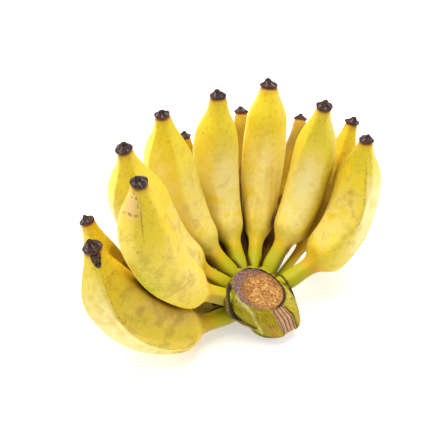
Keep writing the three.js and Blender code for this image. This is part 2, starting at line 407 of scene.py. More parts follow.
def shape_cage(piece, node):
    """Shapes the cage, notes where each point stands and returns the banana's length."""
    cage = Cage(piece)
    move_rings(cage, node)
    crease_ridges(cage, node)
    rows = places_on(cage)
    stem_end = cage.distances[BODY_RING]
    total = cage.distances[-1]
    cage.mesh.to_mesh(piece.data)
    cage.mesh.free()

    distances = rows[:, 0]
    way_round = np.column_stack([rows[:, 1], rows[:, 2], np.zeros(len(rows))])
    write_attribute(piece, "stem", distances / stem_end)
    write_attribute(piece, "distance", distances)
    write_attribute(piece, "share", distances / total)
    write_attribute(piece, "along", rows[:, 3:6], "FLOAT_VECTOR")
    write_attribute(piece, "round", way_round, "FLOAT_VECTOR")
    return total


print("each point of a cage will know where it stands")

# %% [markdown]
# The cages are now grown into bananas. The clouds texture that moves the skin in and out lies in the
# same place for all of them, so each banana passes through another part of it.

# %% Growing the bananas
unevenness = bpy.data.textures.new("unevenness", "CLOUDS")
unevenness.noise_scale = 0.034
unevenness.noise_depth = 1


def make_banana(node):
    piece = copy_of_solid(node, node.replace("finger", "banana"))
    total = shape_cage(piece, node)
    apply_modifier(piece, "SUBSURF", levels=SKIN_LEVELS, render_levels=SKIN_LEVELS)
    apply_modifier(piece, "DISPLACE", texture=unevenness, texture_coords="LOCAL", mid_level=0.5,
                   strength=UNEVENNESS)
    bpy.ops.object.shade_smooth()
    return piece, total


bananas = {}
lengths = {}
for node in FINGERS:
    bananas[node], lengths[node] = make_banana(node)
print("lengths in mm:", {node: round(total / MM) for node, total in lengths.items()})

# %% [markdown]
# A banana that grew against another one took its shape, so two of the skins get a soft swelling or
# hollow. Bruises and scars will later be placed in the same way, by a share along the skin and an angle
# round it, so one function serves them all.
#
# Three bananas also have one long ridge that winds a little round the body. On two of them it parts a
# golden side from one that is painted pale as lit. The ridge is raised here, and the same two functions,
# which tell how far a point lies beyond it and whether it is beside it at all, serve the colours later.

# %% Swellings


def degrees_round(piece):
    """The angle of each point round the skin, from the inner side of the curve."""
    way_round = read_attribute(piece, "round")
    return np.degrees(np.arctan2(way_round[:, 1], way_round[:, 0]))


def mark(piece, places):
    """Adds up soft spots: each is a share along, an angle in degrees, a length, a width and a strength."""
    share = read_attribute(piece, "share")
    angle = degrees_round(piece)
    total = np.zeros(len(share))
    for along, turned, length, width, strength in places:
        off = (angle - turned + 180) % 360 - 180
        total += strength * np.exp(-((share - along) / length) ** 2 - (off / width) ** 2)
    return total


SWELLINGS = {                    # the strengths are millimetres
    "lower_finger_1": [(0.62, 8, 0.24, 50, 2.6)],
    "upper_finger_1": [(0.52, -140, 0.16, 38, 2.2), (0.24, -30, 0.07, 60, -2.8)],
}
# A long ridge: the shares along, the angles there, the side that is painted pale as lit, 1 or -1, or 0
# where neither is, and how far it stands out.
LONG_RIDGES = {
    "lower_finger_1": ((0.37, 0.48, 0.63, 0.77, 0.91), (-123, -111, -99, -87, -78), -1, 0.9),
    "upper_finger_7": ((0.53, 0.63, 0.75, 0.84, 0.91), (84, 72, 57, 51, 45), 1, 0.7),
    "upper_finger_1": ((0.32, 0.42, 0.64, 0.80), (-3, 9, -12, -24), 0, 0.5),
}
RIDGE_WIDTH = 11                 # degrees


def beyond_ridge(node):
    """Degrees past a banana's long ridge, towards its side that is painted pale as lit."""
    shares, angles, side = LONG_RIDGES[node][:3]
    share = read_attribute(bananas[node], "share")
    off = (degrees_round(bananas[node]) - np.interp(share, shares, angles) + 180) % 360 - 180
    return off * (side or 1)


def along_ridge(node):
    """1 along the middle of a long ridge, and 0 past its ends."""
    shares = LONG_RIDGES[node][0]
    share = read_attribute(bananas[node], "share")
    return soft(share, shares[0] - 0.12, shares[0]) * (1 - soft(share, shares[-1], shares[-1] + 0.05))


for node, banana in bananas.items():
    swelling = mark(banana, SWELLINGS.get(node, ()))
    if node in LONG_RIDGES:
        crest = near(beyond_ridge(node), 0, RIDGE_WIDTH) * along_ridge(node)
        swelling += LONG_RIDGES[node][3] * crest
    write_points(banana, read_points(banana) + read_normals(banana) * (swelling * MM)[:, None])
print("swollen:", list(SWELLINGS), "with a long ridge:", list(LONG_RIDGES))

# %% [markdown]
# Where two bananas press against each other, a thin dark line of contact shadow is painted on the peel.
# Each banana's points therefore note how near the next banana is. A search tree of a banana's faces finds
# the nearest place on it quickly, and only the points inside its box, made a little larger, are asked.

# %% Where bananas touch
TOUCH_REACH = 10.0 * MM

trees = {}
boxes = {}
for node, banana in bananas.items():
    banana_points = read_points(banana)
    trees[node] = BVHTree.FromObject(banana, bpy.context.evaluated_depsgraph_get())
    boxes[node] = (banana_points.min(axis=0) - TOUCH_REACH, banana_points.max(axis=0) + TOUCH_REACH)


def nearness(node):
    """1 where a banana touches the next one, and 0 where that is out of reach."""
    points = read_points(bananas[node])
    values = np.zeros(len(points))
    for other, tree in trees.items():
        low, high = boxes[other]
        if other == node:
            continue
        for index in np.nonzero(np.all((points > low) & (points < high), axis=1))[0]:
            distance = tree.find_nearest(Vector(points[index]), TOUCH_REACH)[3]
            if distance is not None:
                values[index] = max(values[index], 1 - distance / TOUCH_REACH)
    return values


for node, banana in bananas.items():
    write_attribute(banana, "touch", nearness(node))
print("touching:", {node: int((read_attribute(b, "touch") > 0.9).sum()) for node, b in bananas.items()})

# %% [markdown]
# The stems stand close side by side. Their flanks and undersides get painted shade, with a little dried
# brown where they rub, and the crowded stems are painted dark all round. The flank of a stem is where its
# normal points across it and level.

# %% The stems' shade
CROWDED_SHADE = 0.95             # how dark the crowded stems are all round

# The stems of the outer bananas stand in the light, so they get only a share of the stems' shade.
STEM_SHADES = {"upper_finger_1": 0.5, "upper_finger_7": 0.2, "lower_finger_1": 0.3}


def shade_of(node):
    """How much painted shade a stem's sides and underside get."""
    banana = bananas[node]
    normals = read_normals(banana)
    sideways = np.cross(read_attribute(banana, "along"), (0, 0, 1))
    sideways /= np.linalg.norm(sideways, axis=1)[:, None]
    flank = soft(abs((normals * sideways).sum(axis=1)), 0.8, 1.0)
    under = soft(-normals[:, 2], 0.1, 0.8) * 0.8
    crowded = CROWDED_SHADE if node in CROWDED else 0.0
    near_stem = 1 - soft(read_attribute(banana, "stem"), 0.9, 1.6)
    return np.maximum(np.maximum(flank, under), crowded) * near_stem * STEM_SHADES.get(node, 1.0)


for node, banana in bananas.items():
    write_attribute(banana, "shade", shade_of(node))
print(len(CROWDED), "stems are dark all round")

# %% [markdown]
# In the narrow gaps between bananas the peel is painted dark and dull as shade. To find those gaps, each
# point sends out a few rays towards the daylight and notes the share of them that another banana stops.
# The fruit carries this painted shade with it, so the gaps stay dark in any light.

# %% Daylight
DAYLIGHT_REACH = 150 * MM

# The outermost lower bananas get light from the side as well.
HALF_LIT = ("lower_finger_8", "lower_finger_1")
HALF_LIT_HIDDEN = 0.6

# Rays of daylight come down at two slopes and from straight above.
DAYLIGHT = [Vector((0, 0, 1))]
for slope, count in ((30, 6), (60, 4)):
    for number in range(count):
        ray = Vector((math.cos(math.radians(slope)), 0, math.sin(math.radians(slope))))
        DAYLIGHT.append(Matrix.Rotation(2 * math.pi * number / count + 0.3, 3, "Z") @ ray)


def tree_of_all():
    """One search tree of all the bananas, and the banana that each of its faces belongs to."""
    corners, faces, owners = [], [], []
    for node, banana in bananas.items():
        first = len(corners)
        corners += [v.co.copy() for v in banana.data.vertices]
        faces += [[first + v for v in face.vertices] for face in banana.data.polygons]
        owners += [node] * len(banana.data.polygons)
    return BVHTree.FromPolygons(corners, faces), owners


all_bananas, owners = tree_of_all()


def hidden_share(node):
    """The share of the daylight that other bananas keep from each point."""
    banana = bananas[node]
    starts = read_points(banana) + read_normals(banana) * 0.4 * MM
    blocked = np.zeros(len(starts))
    for index, start in enumerate(starts):
        start = Vector(start)
        for ray in DAYLIGHT:
            face = all_bananas.ray_cast(start, ray, DAYLIGHT_REACH)[2]
            if face is not None and owners[face] != node:
                blocked[index] += 1 / len(DAYLIGHT)
    return blocked


for node, banana in bananas.items():
    write_attribute(banana, "hidden", hidden_share(node) * (HALF_LIT_HIDDEN if node in HALF_LIT else 1.0))
print("each point asked for daylight along", len(DAYLIGHT), "rays")

# %% [markdown]
# ## The dry flower
#
# A banana grows behind a flower, and when the flower dries up, its shrivelled base stays on the tip:
# a low cap with a thick lip, folded towards a dark pointed stub where the pistil was. It is turned in
# layers like pottery: a disc is extruded upwards ring by ring, each ring scaled to its width. Then the
# rings are pushed in and out in folds that twist upwards, and a subdivision surface rounds the folds.
#
# Two values stay with the points, because dust, wear and a painted highlight follow the form: how high a
# point stands, and whether it is on the crest of a fold.

# %% Modelling the flower once
FLOWER_SIDES = 24
FLOWER_RINGS = [                 # half-width and height, from the peel upwards
    (5.6, -1.2), (6.0, -0.3), (6.6, 0.3), (7.1, 0.9), (6.9, 1.5), (5.9, 2.0), (4.8, 2.5), (3.7, 3.1),
    (2.8, 3.8), (2.3, 4.6), (2.1, 5.3), (1.6, 5.9), (0.7, 6.3),
]
FLOWER_FOLDS = 6
STUB_LEAN = 1.4

wrinkles = bpy.data.textures.new("wrinkles", "CLOUDS")
wrinkles.noise_scale = 0.0018
wrinkles.noise_depth = 2


def turn_flower():
    """A smooth flower of rings, standing on the origin."""
    bpy.ops.object.select_all(action="DESELECT")
    width, height = FLOWER_RINGS[0]
    bpy.ops.mesh.primitive_circle_add(
        vertices=FLOWER_SIDES, radius=width * MM, fill_type="TRIFAN", location=(0, 0, height * MM))
    piece = bpy.context.object
    bpy.ops.object.mode_set(mode="EDIT")
    bpy.ops.mesh.select_all(action="SELECT")
    for next_width, next_height in FLOWER_RINGS[1:]:
        step = (0, 0, (next_height - height) * MM)
        bpy.ops.mesh.extrude_region_move(TRANSFORM_OT_translate={"value": step})
        scale = next_width / width
        bpy.ops.transform.resize(value=(scale, scale, 1))
        width, height = next_width, next_height
    bpy.ops.mesh.select_all(action="SELECT")
    bpy.ops.mesh.normals_make_consistent(inside=False)
    bpy.ops.object.mode_set(mode="OBJECT")
    bpy.ops.object.transform_apply(location=True, rotation=True, scale=True)
    return piece


def make_flower(number):
    """A dry flower with folds. Each number gives other folds and another lean."""
    piece = turn_flower()
    top = FLOWER_RINGS[-1][1]
    ups, crests = [], []
    for vert in piece.data.vertices:
        x, y, z = (c / MM for c in vert.co)
        up = clamp(z / top)
        angle = math.atan2(y, x)
        twisted = FLOWER_FOLDS * angle + 1.8 * up + number
        slope = ease(z, 0.8, 2.2) * (1 - ease(z, 4.5, 6.5))
        spread = 1 + 0.07 * math.cos(twisted) * slope
        spread += 0.05 * math.cos(3 * angle + 2 * number) * ease(z, -0.5, 0.8)
        lift = 0.30 * math.cos(twisted) * slope + 0.35 * math.cos(2 * angle + 3 * number) * ease(z, 0, 1.2)
        lean = STUB_LEAN * up ** 2
        x = x * spread + lean * math.cos(2.4 * number)
        y = y * spread + lean * math.sin(2.4 * number)
        vert.co = Vector((x, y, z + lift)) * MM
        ups.append(up)
        crests.append(0.5 + 0.5 * math.cos(twisted) * slope)
    write_attribute(piece, "up", ups)
    write_attribute(piece, "crest", crests)
    apply_modifier(piece, "SUBSURF", levels=2, render_levels=2)
    apply_modifier(piece, "DISPLACE", texture=wrinkles, texture_coords="LOCAL", mid_level=0.5,
                   strength=0.7 * MM)
    bpy.ops.object.shade_smooth()
    return piece


flower_kinds = [make_flower(number) for number in range(4)]
print(len(flower_kinds), "flowers of", len(flower_kinds[0].data.polygons), "faces")

# %% [markdown]
# Each tip gets a copy of one of them with its own mesh, turned to stand on the banana's end and spun
# so that no two show the same side. Most have shrunk a little, those of the lower row the most. One
# banana was picked with more of its flower left, so that flower is also taller.

# %% Setting the flowers on the tips
FLOWER_SIZES = {"upper": 0.85, "lower": 0.82}
FULL_FLOWERS = ("lower_flower_1", "upper_flower_5")
TALL_FLOWER = "lower_flower_1"
TALL_STRETCH = 1.3


def tip_of(node):
    """The middle of a banana's neck and the way that it points."""
    piece = copy_of_solid(node, "measure")
    cage = Cage(piece)
    end, along = cage.middles[-1].copy(), (cage.middles[-1] - cage.middles[-4]).normalized()
    cage.mesh.free()
    bpy.data.objects.remove(piece)
    return end, along


def set_flower(number, finger):
    node = finger.replace("finger", "flower")
    end, along = tip_of(finger)
    kind = flower_kinds[number % len(flower_kinds)]
    piece = bpy.data.objects.new(node.replace("flower", "dry_flower"), kind.data.copy())
    bpy.context.scene.collection.objects.link(piece)
    size = 1.0
    if node not in FULL_FLOWERS:
        size = FLOWER_SIZES[node[:5]] * (1 + 0.04 * math.sin(3 * number))
    stretch = TALL_STRETCH if node == TALL_FLOWER else 1.0
    spin = Matrix.Rotation(2.1 * number, 4, "Z") @ Matrix.Diagonal((size, size, size * stretch, 1))
    stand = along.to_track_quat("Z", "Y").to_matrix().to_4x4()
    piece.data.transform(Matrix.Translation(end) @ stand @ spin)
    return node, piece


flowers = dict(set_flower(number, finger) for number, finger in enumerate(FINGERS))
for kind in flower_kinds:
    bpy.data.objects.remove(kind)
print(len(flowers), "flowers stand on their tips")

# %% [markdown]
# ## The crown
#
# The crown is a thick piece of green stalk, cut through by a knife. Its top is a brown, fibrous
# disc with a dark, dried rim, and its sides are green skin with paler ribs. On one side a strip was
# torn away and left a flat band of pinkish fibres. The stems grow out of a cushion behind it, and
# where the stalk's skin was peeled back from that cushion, a dark dry lip is left.
#
# The solid already has the main forms. The thin ones are added here: the dark lip, the dark edge on the
# other side and the pale rib, each a curve with a round section that swells and tapers along its way.
# A fourth, thicker one is a web that fills the gaps between the roots of the two rows, painted as shade.

# %% Ledges round the crown
WEB_RADIUS = 31                  # the web follows the circle of the stems' roots, in mm and degrees
WEB_TURNS = [math.radians(turn) for turn in range(-112, 21, 12)]

# Each point is across, along and above the crown's middle, and then the ledge's half-thickness, in mm.
LEDGES = {
    "lip": [(-20.5, 1, 7.5, 0.6), (-22.3, -7.5, 9.8, 1.4), (-23.4, -15.2, 12, 2.0),
            (-23.4, -22, 11.5, 2.4), (-21.8, -25.4, 6.0, 2.5), (-19.4, -24.8, -1.2, 2.2),
            (-15.4, -22.6, -8.2, 1.7), (-9.8, -23.2, -11.6, 1.3), (-4.6, -25.0, -12.2, 1.0),
            (1.0, -26.4, -13.6, 0.8)],
    "edge": [(9.5, 19.0, 1.5, 0.4), (14.5, 16.0, 2.6, 0.6), (19.8, 9.2, 3.0, 0.6), (23.5, 4.5, 1.0, 0.6),
             (25.6, 2.4, -1.0, 0.6), (27.4, -0.5, -2.4, 0.6), (29.0, -3.6, -4.6, 0.6),
             (30.3, -5.5, -7.6, 0.6), (31.6, -8.5, -10.4, 0.6), (32.4, -10.5, -14.0, 0.6)],
    "rib": [(-17.1, -17.9, 10.0, 0.4), (-13.6, -21.0, 8.2, 0.55), (-9.3, -23.4, 6.8, 0.6),
            (-4.6, -26.2, 3.0, 0.6), (-1.2, -27.7, -2.4, 0.5), (2.5, -27.2, -10.0, 0.5),
            (6.6, -26.4, -17.0, 0.4)],
    "web": [(WEB_RADIUS * math.sin(turn), WEB_RADIUS * math.cos(turn), -8.5, 4.2) for turn in WEB_TURNS],
}


def make_ledge(name):
    """A rounded ledge as a mesh with closed ends."""
    bpy.ops.object.select_all(action="DESELECT")
    bpy.ops.curve.primitive_bezier_curve_add(location=(0, 0, 0))
    ledge = bpy.context.object
    ledge.name = name
    path = LEDGES[name]
    points = ledge.data.splines[0].bezier_points
    points.add(len(path) - len(points))
    for point, (across, along, above, half) in zip(points, path):
        point.co = CROWN + Vector((across, along, above)) * MM
        point.radius = half
        point.handle_left_type = "AUTO"
        point.handle_right_type = "AUTO"
    ledge.data.bevel_depth = MM
    ledge.data.use_fill_caps = True
    bpy.ops.object.convert(target="MESH")
    return bpy.context.object


ledges = {name: make_ledge(name) for name in LEDGES}
depsgraph = bpy.context.evaluated_depsgraph_get()
ledge_trees = {name: BVHTree.FromObject(ledge, depsgraph) for name, ledge in ledges.items()}
print({name: len(ledge.data.polygons) for name, ledge in ledges.items()})

# %% [markdown]
# The ledges are joined to a copy of the solid. A voxel remesh gives the whole one even, closed skin,
# which can be smoothed like wet clay, so the ledges and the stems' roots flow into the crown.

# %% Remeshing the crown
VOXEL = 0.5 * MM
STALK_FOOT = CROWN + Vector((17, -12, -22)) * MM
STALK_HEAD = CROWN + Vector((-0.9, -7.4, 9)) * MM
STALK_DEPTH = 0.86               # the stalk is an oval, thinner from front to back
CUT_SLOPE = (-0.23, 0.17)        # how the cut rises towards the right and towards the back

crown = copy_of_solid("crown", "cut_stalk")
take(crown)
for ledge in ledges.values():
    ledge.select_set(True)
bpy.ops.object.join()
apply_modifier(crown, "REMESH", mode="VOXEL", voxel_size=VOXEL)
apply_modifier(crown, "SMOOTH", factor=0.5, iterations=5)
bpy.ops.object.shade_smooth()
print("the crown has", len(crown.data.polygons), "faces")

# %% [markdown]
# Every point of the crown is then measured against the stalk: how high it stands, which way round it
# is, and how far below the cut. Those numbers carve the details and later colour them.

# %% Measuring the crown
points = read_points(crown)
normals = read_normals(crown)
height = np.clip((points[:, 2] - STALK_FOOT.z) / (STALK_HEAD.z - STALK_FOOT.z), 0, 1.3)
axis_x = mix(STALK_FOOT.x, STALK_HEAD.x, height)
axis_y = mix(STALK_FOOT.y, STALK_HEAD.y, height)
off_x = points[:, 0] - axis_x
off_y = (points[:, 1] - axis_y) / STALK_DEPTH
reach = np.hypot(off_x, off_y)
turn = np.degrees(np.arctan2(off_x, off_y)) % 360          # clockwise from the back, seen from above
cut_height = STALK_HEAD.z + CUT_SLOPE[0] * (points[:, 0] - STALK_HEAD.x)
cut_height += CUT_SLOPE[1] * (points[:, 1] - STALK_HEAD.y)
below_cut = cut_height - points[:, 2]


def rough_noise(places, scale, seed=0.0):
    """Soft noise between -1 and 1 whose lumps are about one scale across."""
    shift = Vector((seed, 2 * seed, 3 * seed))
    return np.array([noise.noise(Vector(p) / scale + shift) for p in places])


print("the crown's points stand up to", round(float(reach.max()) / MM, 1), "mm from the stalk's middle")

# %% [markdown]
# The parts of the crown are found from those numbers, as soft shares from 0 to 1: the cut face and its
# rim, the skin of the stalk, and the cushion with the ledges that stand on it.

# %% Parts of the crown
# Heights above the stalk's foot, and how far its skin is from its middle there, in mm.
STALK_WIDTHS = ([0, 2, 8, 15, 20, 25, 28.5, 31], [15.8, 18, 20, 22, 23, 22.6, 21.4, 19.8])
CUT_RADIUS = 19.8                # mm

rise = (points[:, 2] - STALK_FOOT.z) / MM
width = np.interp(rise, *STALK_WIDTHS) * MM
proud = (reach - width) / MM                                # how far a point stands out of the stalk
cut_reach = np.hypot(points[:, 0] - STALK_HEAD.x, (points[:, 1] - STALK_HEAD.y) / STALK_DEPTH) / MM
wander = 0.8 * rough_noise(points, 6 * MM, 9)


def on_ledge(name):
    """1 on a ledge's own surface, and 0 from one millimetre away."""
    tree = ledge_trees[name]
    away = np.full(len(points), 1.0)
    for index, point in enumerate(points):
        distance = tree.find_nearest(Vector(point), MM)[3]
        if distance is not None:
            away[index] = distance / MM
    return 1 - soft(away, 0.35, 0.95)


lip = on_ledge("lip")
edge = on_ledge("edge")
rib = on_ledge("rib")
web = on_ledge("web")

ragged = 1.4 * rough_noise(points, 2.4 * MM, 13) * near(turn, 235, 50)
inside_rim = 1 - soft(cut_reach + ragged, CUT_RADIUS - 0.6, CUT_RADIUS + 0.4)
cut = (1 - soft(below_cut, 0.8 * MM, 2.0 * MM)) * inside_rim * (1 - lip)
side = soft(below_cut, 0.5 * MM, 2.0 * MM)
front_side = soft(np.cos(np.radians(turn - 180)), -0.1, 0.3)  # the stalk swells here below the stems
stalk = side * (1 - soft(proud - 9 * front_side, 0.6, 1.8))
cushion = side * (1 - stalk)
rim = (1 - soft(below_cut, 1.2 * MM, 3.0 * MM)) * near(cut_reach + 0.5 * wander, CUT_RADIUS - 0.4, 1.3)
rim *= 0.4 + 0.75 * soft(np.cos(np.radians(turn - 50)), -0.2, 0.5)      # thick at the back right
underside = soft(-normals[:, 2], 0.5, 0.8) * (1 - soft(height, 0.06, 0.16))
foot_edge = stalk * near(rise + 0.7 * wander, 1.2, 1.3)
seam = side * near(proud, 1.0, 0.9) * soft(np.cos(np.radians(turn)), 0.1, 0.5)     # behind the stalk
print("cut face:", int((cut > 0.5).sum()), "points, stalk:", int((stalk > 0.5).sum()))

# %% [markdown]
# The skin of the stalk isn't the same all round. At the front right a strip is torn away. Left of it
# is a lobe beyond the pale rib, and the right side is yellower, with rust low down and cream patches
# just below the cut.

# %% The torn strip and the stalk's sides
STRIP_TOP_TURN = 131             # degrees round the stalk
STRIP_FOOT_TURN = 135
STRIP_TOP_HALF = 23
STRIP_FOOT_HALF = 17
STRIP_GROOVES = 4                # ridges of fibre across the strip
RIB_TURN = 200                   # the pale rib: the lobe is beyond it, and the front before it
RIGHT_SIDE = (20, 112)           # the turns between which the stalk faces right

strip_turn = mix(STRIP_FOOT_TURN, STRIP_TOP_TURN, np.clip(height, 0, 1))
strip_half = mix(STRIP_FOOT_HALF, STRIP_TOP_HALF, np.clip(height, 0, 1))
across = (turn - strip_turn) / strip_half                    # from -1 to 1 across the strip
below_face = soft(below_cut, 0.1 * MM, 0.6 * MM) * (1 - inside_rim)
strip = np.maximum(stalk, below_face) * (1 - soft(abs(across), 0.92, 1.04))
grooves = np.cos(across * math.pi * STRIP_GROOVES)
strip_edge = stalk * (near(across, -1.0, 0.09) + near(across, 1.0, 0.07))

lobe = stalk * soft(turn + 3 * wander, RIB_TURN, RIB_TURN + 8) * (1 - soft(turn, 300, 330))
facing_right = stalk * soft(turn, RIGHT_SIDE[0], RIGHT_SIDE[0] + 15)
facing_right *= 1 - soft(turn, RIGHT_SIDE[1] - 10, RIGHT_SIDE[1])
rusty = stalk * near(turn + 4 * wander, 168, 13) * (1 - 0.8 * soft(height, 0.2, 0.9))
cream = stalk * near(below_cut / MM + wander, 2.6, 1.5) * near(turn, 212, 20)
cream += stalk * 0.5 * near(below_cut / MM + wander, 2.4, 1.6) * near(turn, 70, 30)
print("torn strip:", int((strip > 0.5).sum()), "points, lobe:", int((lobe > 0.5).sum()))

# %% [markdown]
# The carving moves each point a little along its normal. The dried face is rough with the ends of cut
# fibres and a little hollow. The torn strip is sunk in and grooved along the stalk, the dry lip is
# lumpy, and a groove parts the stalk from the cushion of the stems behind it.

# %% Carving the crown
fibres = rough_noise(points, 1.1 * MM) + 0.5 * rough_noise(points, 0.5 * MM, 7)
lumps = rough_noise(points, 9 * MM, 3)
fine_lumps = rough_noise(points, 2.5 * MM, 5)
flow = np.column_stack([off_x, off_y, (points[:, 2] - STALK_FOOT.z) * 0.12])
streaks = rough_noise(flow, 1.8 * MM, 11)

push = cut * (0.40 * fibres - 0.5 * (1 - soft(cut_reach, 12, 19)))
push += rim * (0.5 + 0.6 * fine_lumps)
push += (1 - cut) * (0.6 * lumps + 0.12 * fine_lumps)
push += stalk * 0.30 * streaks
push += strip * (-0.9 + 0.5 * grooves + 0.15 * fibres)
push += lip * 0.35 * fine_lumps
push -= seam * 0.7 + foot_edge * 0.3 + strip_edge * 0.3
write_points(crown, points + normals * (push * MM)[:, None])
print("carved by up to", round(float(abs(push).max()), 2), "mm")

# %% [markdown]
# The same shares stay with the crown's points as attributes, for its finish. A few are only for the
# colours: how dried the cut face is, from its middle out to the purple side, the top of the lip, which
# has lost its dark skin, and the direction of the grain.

# %% Values for the crown's colours
purple_side = np.cos(np.radians(turn - 285))
write_attribute(crown, "grain", flow, "FLOAT_VECTOR")
write_attribute(crown, "cut", np.clip(cut + underside, 0, 1))
write_attribute(crown, "rim", np.clip(rim, 0, 1))
write_attribute(crown, "dried", cut_reach / CUT_RADIUS + 0.25 * purple_side + underside)
write_attribute(crown, "strip", strip)
write_attribute(crown, "groove", np.clip(0.5 - 0.5 * grooves, 0, 1))
write_attribute(crown, "rib", np.clip(rib, 0, 1))
write_attribute(crown, "edge", np.clip(strip_edge + foot_edge, 0, 1))
write_attribute(crown, "dark_edge", edge)
outwards = np.column_stack([off_x, off_y, np.full(len(points), 8 * MM)])
outwards /= np.linalg.norm(outwards, axis=1)[:, None]
write_attribute(crown, "lip", lip)
write_attribute(crown, "lip_top", lip * soft((normals * outwards).sum(axis=1), 0.3, 0.65))
write_attribute(crown, "seam", np.clip(seam, 0, 1))
write_attribute(crown, "cushion", cushion)
write_attribute(crown, "web", web * cushion)
write_attribute(crown, "lobe", lobe)
write_attribute(crown, "facing_right", facing_right)
write_attribute(crown, "rusty", rusty)
write_attribute(crown, "cream", np.clip(cream, 0, 1))
write_attribute(crown, "height", np.clip(height, 0, 1))
print("the crown carries", len(crown.data.attributes), "attributes")

# %% [markdown]
# ## Finishes as sums
#
# A finish is a tree of nodes: patterns and masks go in, and a colour, a roughness and a bump come out.
# Wiring Math nodes by hand hides the sums, so a small class wraps a node's socket and turns Python's
# operators into Math nodes. Colours are mixed with Mix nodes, which keep them colours.

# %% Wires and finishes


class Wire:
    """A number on a socket. Sums with it add Math nodes."""

    def __init__(self, finish, socket):
        self.finish = finish
        self.socket = socket

    def maths(self, operation, *values):
        numbered = dict(enumerate(values))
        return self.finish.node("Math", numbered, operation=operation)

    def __add__(self, other):
        return self.maths("ADD", self, other)

    def __sub__(self, other):
        return self.maths("SUBTRACT", self, other)

    def __mul__(self, other):
        return self.maths("MULTIPLY", self, other)

    def __truediv__(self, other):
        return self.maths("DIVIDE", self, other)

    def __pow__(self, other):
        return self.maths("POWER", self, other)

    def __radd__(self, other):
        return self.maths("ADD", other, self)

    def __rsub__(self, other):
        return self.maths("SUBTRACT", other, self)

    def __rmul__(self, other):
        return self.maths("MULTIPLY", other, self)

    def ramp(self, start, end):
        """Eases from 0 at start to 1 at end."""
        values = {"Value": self, "From Min": start, "From Max": end}
        return self.finish.node("MapRange", values, interpolation_type="SMOOTHSTEP")


class Finish:
    """A material with one shader, and a plain way to add nodes to it."""

    def __init__(self, name, constants=()):
        self.material = bpy.data.materials.new(name)
        self.material.use_nodes = True
        self.tree = self.material.node_tree
        self.shader = self.tree.nodes["Principled BSDF"]
        for socket, value in dict(constants).items():
            self.shader.inputs[socket].default_value = value

    def feed(self, socket, value):
        if isinstance(value, Wire):
            self.tree.links.new(value.socket, socket)
        elif isinstance(value, tuple) and len(value) == 3 and socket.type == "RGBA":
            socket.default_value = (*value, 1)
        else:
            socket.default_value = value

    def node(self, kind, inputs=(), output=0, **settings):
        made = self.tree.nodes.new("ShaderNode" + kind)
        for name, value in settings.items():
            setattr(made, name, value)
        for name, value in dict(inputs).items():
            self.feed(made.inputs[name], value)
        return Wire(self, made.outputs[output])

    def places(self):
        return self.node("TexCoord", output="Object")

    def attribute(self, name, output="Fac"):
        return self.node("Attribute", output=output, attribute_name=name)

    def noise(self, places, size, detail=2.0, roughness=0.5, distortion=0.0):
        """Soft noise whose lumps are about this many metres across."""
        values = {"Vector": places, "Scale": 1 / size, "Detail": detail, "Roughness": roughness,
                  "Distortion": distortion}
        return self.node("TexNoise", values)

    def blend(self, first, second, factor):
        """From the first colour to the second."""
        return self.node("Mix", {0: factor, 6: first, 7: second}, output=2, data_type="RGBA")

    def bump(self, height, depth):
        return self.node("Bump", {"Height": height, "Distance": depth, "Strength": 1.0})

    def finish(self, colour, roughness, normal):
        self.feed(self.shader.inputs["Base Color"], colour)
        self.feed(self.shader.inputs["Roughness"], roughness)
        self.feed(self.shader.inputs["Normal"], normal)
        return self.material


def paint(piece, material):
    piece.data.materials.clear()
    piece.data.materials.append(material)


def srgb(red, green, blue):
    """A colour as the eye counts it, from 0 to 255, to the light that Blender counts."""
    shares = [c / 255 for c in (red, green, blue)]
    return tuple(s / 12.92 if s <= 0.04045 else ((s + 0.055) / 1.055) ** 2.4 for s in shares)


print("a mid grey of 128 is", round(srgb(128, 128, 128)[0], 3), "as light")

# %% [markdown]
# ## Banana peel
#
# Ripe peel is satin, not glossy. It is lime green where the stem leaves the crown, then golden
# where the stem swells into the body; its sides and undersides get painted shade and a little dried brown.
# The body is a pale lemon yellow, softly mottled, and grows deeper yellow towards its neck. Its outer side
# is a little greener, faint fibres run lengthwise, and riper bananas have more small olive clouds and
# flecks. Between two bananas the peel is painted a dull golden brown as shade, and nearly black as contact
# shadow where they touch. The lower row gets painted amber shade, and lit sides are painted paler.

# %% The peel's colours
YELLOW = srgb(242, 216, 44)
PALE_YELLOW = srgb(248, 228, 98)
CREAM_YELLOW = srgb(254, 238, 164)
DEEP_YELLOW = srgb(230, 206, 36)
WARM_YELLOW = srgb(240, 208, 60)
OLIVE = srgb(180, 156, 34)
GREENISH = srgb(212, 198, 22)
LIME = srgb(186, 180, 4)
STEM_YELLOW = srgb(208, 182, 8)
STEM_GOLD = srgb(216, 168, 20)
# These five are painted shade: the stems' shade, contact shadow and the shade deep in the gaps.
STEM_SHADE = srgb(84, 60, 14)
CONTACT_SHADOW_BROWN = srgb(74, 40, 8)
GAP_SHADE_GOLD = srgb(188, 148, 10)
GAP_SHADE_BROWN = srgb(78, 40, 8)
GAP_SHADE_OLIVE = srgb(128, 92, 2)
STAIN = srgb(40, 26, 30)
TIP_ORANGE = srgb(206, 138, 30)
SCUFF = srgb(150, 100, 40)
GREEN_TINGE = srgb(184, 178, 20)
RIPE_GOLD = srgb(232, 190, 36)
RIPE_BROWN = srgb(184, 142, 26)
SHADE_AMBER = srgb(194, 156, 12)
FLECK = srgb(104, 66, 30)
SCAR = srgb(230, 186, 118)
print("plain yellow peel, as light, is", [round(share, 2) for share in YELLOW])

# %% [markdown]
# The colours are laid over each other like washes of paint, the broad ones first. Each wash has a mask:
# a pattern, one of the values on the skin's points, or both together.

# %% The peel's finish


